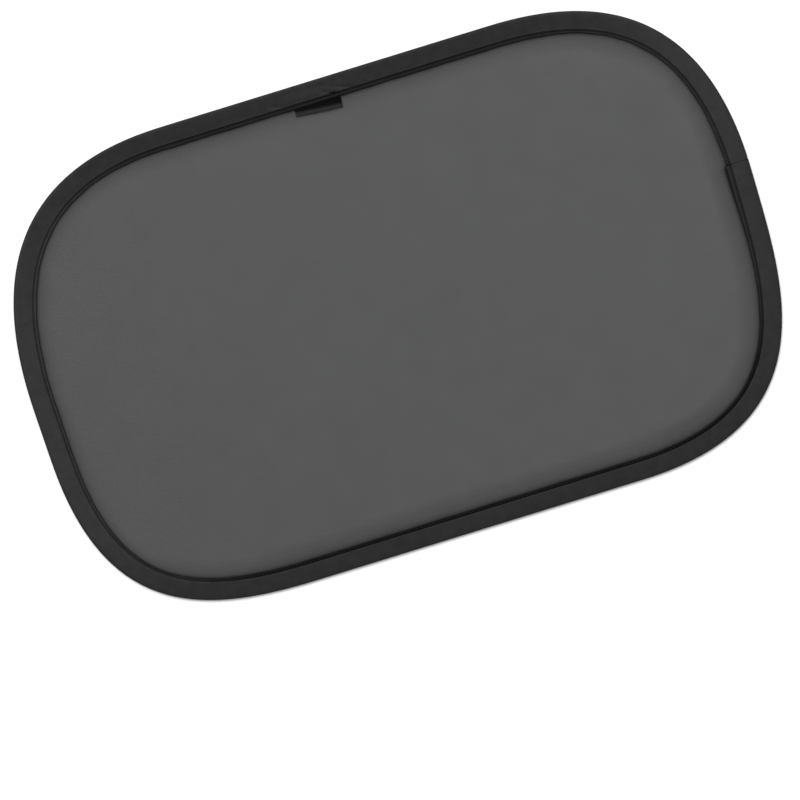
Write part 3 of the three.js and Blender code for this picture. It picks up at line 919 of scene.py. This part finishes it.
def ribbon_material():
    ribbon = new_material("black_woven_ribbon")
    place_on = add(ribbon, "UVMap", {"uv_map": "along_piece"}).outputs["UV"]
    split = add(ribbon, "SeparateXYZ", Vector=place_on)
    turns = add(ribbon, "Math", {"operation": "MULTIPLY"}, _0=split.outputs["Y"], _1=2 * math.pi / RIB)
    ribs = add(ribbon, "Math", {"operation": "SINE"}, _0=turns.outputs[0])
    uneven = add(ribbon, "TexNoise", Vector=place_on, Scale=900.0, Detail=2.0)
    plain = add(ribbon, "MixRGB", _0=uneven.outputs[0], _1=to_linear("#050505"), _2=to_linear("#0c0c0d"))
    off_fold = add(ribbon, "Math", {"operation": "SUBTRACT"}, _0=split.outputs["Y"], _1=fold_across)
    off_fold = add(ribbon, "Math", {"operation": "ABSOLUTE"}, _0=off_fold.outputs[0])
    # a painted highlight where the fold rolls over toward the light
    fold_highlight = add(
        ribbon, "MapRange", Value=off_fold.outputs[0], From_Min=FOLD_HIGHLIGHT[0], From_Max=FOLD_HIGHLIGHT[1]
    )
    colour = add(ribbon, "MixRGB", _0=fold_highlight.outputs[0], _1=plain.outputs[0], _2=to_linear("#2a2a2b"))
    bump = add(ribbon, "Bump", Height=ribs.outputs[0], Strength=0.3, Distance=0.03 * MM)
    skin = add(
        ribbon,
        "BsdfPrincipled",
        Base_Color=colour.outputs[0],
        Roughness=0.5,
        IOR=1.53,
        Specular_IOR_Level=0.01,
        Normal=bump.outputs[0],
    )
    show(ribbon, skin.outputs[0])
    return ribbon


woven_ribbon = ribbon_material()

# %% Thread finish
TWIST = 0.6 * MM


def thread_material():
    yarn = new_material("black_twisted_polyester_thread")
    place_on = add(yarn, "UVMap", {"uv_map": "along_piece"}).outputs["UV"]
    split = add(yarn, "SeparateXYZ", Vector=place_on)
    lean = add(yarn, "Math", {"operation": "ADD"}, _0=split.outputs["X"], _1=split.outputs["Y"])
    turns = add(yarn, "Math", {"operation": "MULTIPLY"}, _0=lean.outputs[0], _1=2 * math.pi / TWIST)
    plies = add(yarn, "Math", {"operation": "SINE"}, _0=turns.outputs[0])
    tone = add(yarn, "MapRange", Value=plies.outputs[0], From_Min=-1.0, From_Max=1.0)
    colour = add(yarn, "MixRGB", _0=tone.outputs[0], _1=to_linear("#0c0c0d"), _2=to_linear("#151516"))
    bump = add(yarn, "Bump", Height=plies.outputs[0], Strength=0.4, Distance=0.04 * MM)
    skin = add(
        yarn,
        "BsdfPrincipled",
        Base_Color=colour.outputs[0],
        Roughness=0.6,
        Specular_IOR_Level=0.12,
        Normal=bump.outputs[0],
    )
    show(yarn, skin.outputs[0])
    return yarn


polyester_thread = thread_material()

# %% Metal finishes
ROUGHNESS_VARIES = 0.08


def metal_material(name, dark, light, roughness, grain):
    metal = new_material(name)
    where = add(metal, "TexCoord").outputs["Object"]
    uneven = add(metal, "TexNoise", Vector=where, Scale=1 / grain, Detail=3.0)
    colour = add(metal, "MixRGB", _0=uneven.outputs[0], _1=to_linear(dark), _2=to_linear(light))
    rough = add(
        metal,
        "MapRange",
        Value=uneven.outputs[0],
        To_Min=roughness - ROUGHNESS_VARIES,
        To_Max=roughness + ROUGHNESS_VARIES,
    )
    skin = add(
        metal, "BsdfPrincipled", Base_Color=colour.outputs[0], Metallic=1.0, Roughness=rough.outputs[0]
    )
    show(metal, skin.outputs[0])
    return metal


spring_steel = metal_material("drawn_spring_steel", "#84868a", "#96989b", 0.35, 0.4 * MM)
zinc_plate = metal_material("zinc_plated_steel", "#a9abae", "#bec0c3", 0.42, 0.8 * MM)

# %% [markdown]
# ## Put the pieces together
#
# Each soft piece stands for its imported solid and rides on the one body. Mesh and film are the two sheets.
# They are cut to the outline, a seam's width larger than the field that shows, and their flat area is that
# inside the line of their edge.


dressed = [
    (tape, tape_cloth, "edge_binding", "polyester_tape"),
    (panel, knit_mesh, "mesh_panel", "polyester_mesh"),
    (film, vinyl_film, "cling_film", "clear_film"),
    (label, woven_ribbon, "label_tab", "label_ribbon"),
    (needle, polyester_thread, "needle_thread", "sewing_thread"),
    (bobbin, polyester_thread, "bobbin_thread", "sewing_thread"),
]
for piece, finish, node, slot in dressed:
    piece.data.materials.append(finish)
    if piece is tape:
        piece.data.materials.append(shaded_cloth)
    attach(piece, "root")
    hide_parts(node)

for node, finish in (("spring_wire", spring_steel), ("wire_sleeve", zinc_plate)):
    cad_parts[node].data.materials.clear()
    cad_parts[node].data.materials.append(finish)

# %% [markdown]
# ## Floor, light and camera
#
# The shade lies on a plain white table, and the camera looks straight down on it. Black cloth shows its
# form only where a lamp grazes it. So the main softbox stands high beyond the upper left of the picture, a
# weaker one stands low beyond its upper right, and the white room fills in the rest.

# %% Floor
PHOTO_TURN = math.radians(17.14)  # the shade lies turned on the table
image_right = np.array([math.cos(PHOTO_TURN), -math.sin(PHOTO_TURN), 0])
image_up = np.array([math.sin(PHOTO_TURN), math.cos(PHOTO_TURN), 0])


def floor_material():
    paper = new_material("white_table_paper")
    seen = add(paper, "LightPath")
    matt = add(paper, "BsdfDiffuse", Color=to_linear("#fbfbfb"))
    glow = add(paper, "Emission", Color=to_linear("#ffffff"), Strength=0.12)
    brighter = add(paper, "AddShader", _0=matt.outputs[0], _1=glow.outputs[0])
    both = add(
        paper,
        "MixShader",
        _0=seen.outputs["Is Camera Ray"],
        _1=matt.outputs[0],
        _2=brighter.outputs[0],
    )
    show(paper, both.outputs[0])
    return paper


bpy.ops.mesh.primitive_grid_add(size=8, x_subdivisions=8, y_subdivisions=8, location=(0, 0, 0))
floor = bpy.context.object
floor.name = "white_table"
floor.data.materials.append(floor_material())

# %% Light
LAMP_DISTANCE = 3.2  # metres, from the middle of the shade


def softbox(name, direction, elevation, size, watts):
    """A square lamp that looks at the shade. direction is in degrees from the picture's right, upward."""
    light = bpy.data.lights.new(name, "AREA")
    light.size = size
    light.energy = watts
    lamp = bpy.data.objects.new(name, light)
    turn, rise = math.radians(direction), math.radians(elevation)
    spot = (image_right * math.cos(turn) + image_up * math.sin(turn)) * math.cos(rise) * LAMP_DISTANCE
    lamp.location = (spot[0], spot[1], math.sin(rise) * LAMP_DISTANCE)
    lamp.rotation_euler = (-Vector(lamp.location)).to_track_quat("-Z", "Y").to_euler()
    COLLECTION.objects.link(lamp)


softbox("main_softbox", direction=120, elevation=55, size=1.8, watts=86)
softbox("low_softbox", direction=60, elevation=28, size=1.8, watts=24)


def studio_world():
    world = bpy.data.worlds.new("white_studio")
    world.use_nodes = True
    world.node_tree.nodes.clear()
    path = add(world, "LightPath")
    mirrored = add(
        world,
        "Math",
        {"operation": "MAXIMUM"},
        _0=path.outputs["Is Glossy Ray"],
        _1=path.outputs["Is Transmission Ray"],
    )
    seen = add(
        world, "Math", {"operation": "MAXIMUM"}, _0=path.outputs["Is Camera Ray"], _1=mirrored.outputs[0]
    )
    strength = add(world, "MapRange", Value=seen.outputs[0], To_Min=0.35, To_Max=1.0)
    light = add(world, "Background", Color=to_linear("#ffffff"), Strength=strength.outputs[0])
    output = world.node_tree.nodes.new("ShaderNodeOutputWorld")
    world.node_tree.links.new(light.outputs[0], output.inputs["Surface"])
    bpy.context.scene.world = world


studio_world()
bpy.context.scene.view_settings.view_transform = "Standard"

# %% Camera
FRAME_WIDTH = 518 * MM  # what the picture takes in, from side to side
CAMERA_HEIGHT = 2.0  # metres
SHADE_RIGHT = -1.9 * MM  # from the middle of the picture to the middle of the shade
SHADE_UP = 61.6 * MM

camera_data = bpy.data.cameras.new("camera")
camera_data.sensor_width = 36
camera_data.lens = camera_data.sensor_width * CAMERA_HEIGHT / FRAME_WIDTH
camera = bpy.data.objects.new("camera", camera_data)
aim = -image_right * SHADE_RIGHT - image_up * SHADE_UP
camera.location = (aim[0], aim[1], CAMERA_HEIGHT)
camera.rotation_euler = (0, 0, -PHOTO_TURN)
COLLECTION.objects.link(camera)
bpy.context.scene.camera = camera
